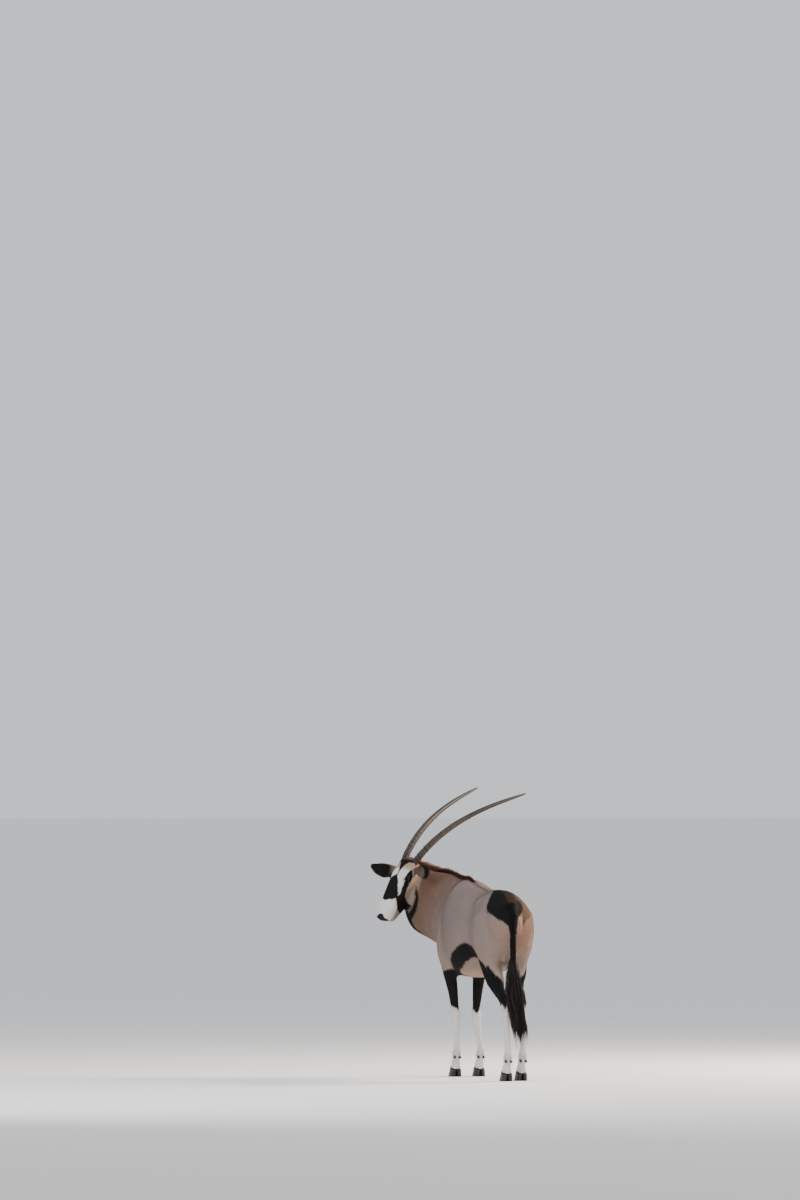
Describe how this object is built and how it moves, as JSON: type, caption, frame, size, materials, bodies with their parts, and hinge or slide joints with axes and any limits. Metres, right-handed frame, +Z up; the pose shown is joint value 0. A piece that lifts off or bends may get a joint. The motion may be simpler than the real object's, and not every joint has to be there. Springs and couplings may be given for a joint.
{
  "type": "gemsbok",
  "caption": "Life-size gemsbok standing with its head turned back over its left shoulder, as a still museum model.",
  "frame": {"origin": "middle of the animal's bounding box on the floor, at the level of the hoof soles", "axes": "+Z up, -Y the way the body faces, +X the animal's left side"},
  "size_m": [1.0302, 2.0562, 1.7391],
  "materials": {
    "coat": "short grey-fawn hair with black and white markings",
    "neck_coat": "short warm brown hair with a stiff dark mane",
    "white_coat": "short white hair on the lower legs",
    "black_hair": "long black tail hair",
    "horn": "dark ringed horn, smooth at the tips",
    "hoof": "dark hoof horn",
    "eye": "wet dark brown eye"
  },
  "bodies": {
    "root": {"head": "coat", "horn_left": "horn", "eye_left": "eye", "ear_left": "coat", "horn_right": "horn", "eye_right": "eye", "ear_right": "coat", "neck": "neck_coat", "torso": "coat", "tail": "black_hair", "tail_switch": "black_hair", "foreleg_left_upper": "coat", "foreleg_left_lower": "white_coat", "foreleg_left_hoof_left": "hoof", "foreleg_left_hoof_right": "hoof", "foreleg_left_dewclaw_left": "hoof", "foreleg_left_dewclaw_right": "hoof", "foreleg_right_upper": "coat", "foreleg_right_lower": "white_coat", "foreleg_right_hoof_left": "hoof", "foreleg_right_hoof_right": "hoof", "foreleg_right_dewclaw_left": "hoof", "foreleg_right_dewclaw_right": "hoof", "hindleg_left_upper": "coat", "hindleg_left_lower": "white_coat", "hindleg_left_hoof_left": "hoof", "hindleg_left_hoof_right": "hoof", "hindleg_left_dewclaw_left": "hoof", "hindleg_left_dewclaw_right": "hoof", "hindleg_right_upper": "coat", "hindleg_right_lower": "white_coat", "hindleg_right_hoof_left": "hoof", "hindleg_right_hoof_right": "hoof", "hindleg_right_dewclaw_left": "hoof", "hindleg_right_dewclaw_right": "hoof"}
  },
  "joints": []
}
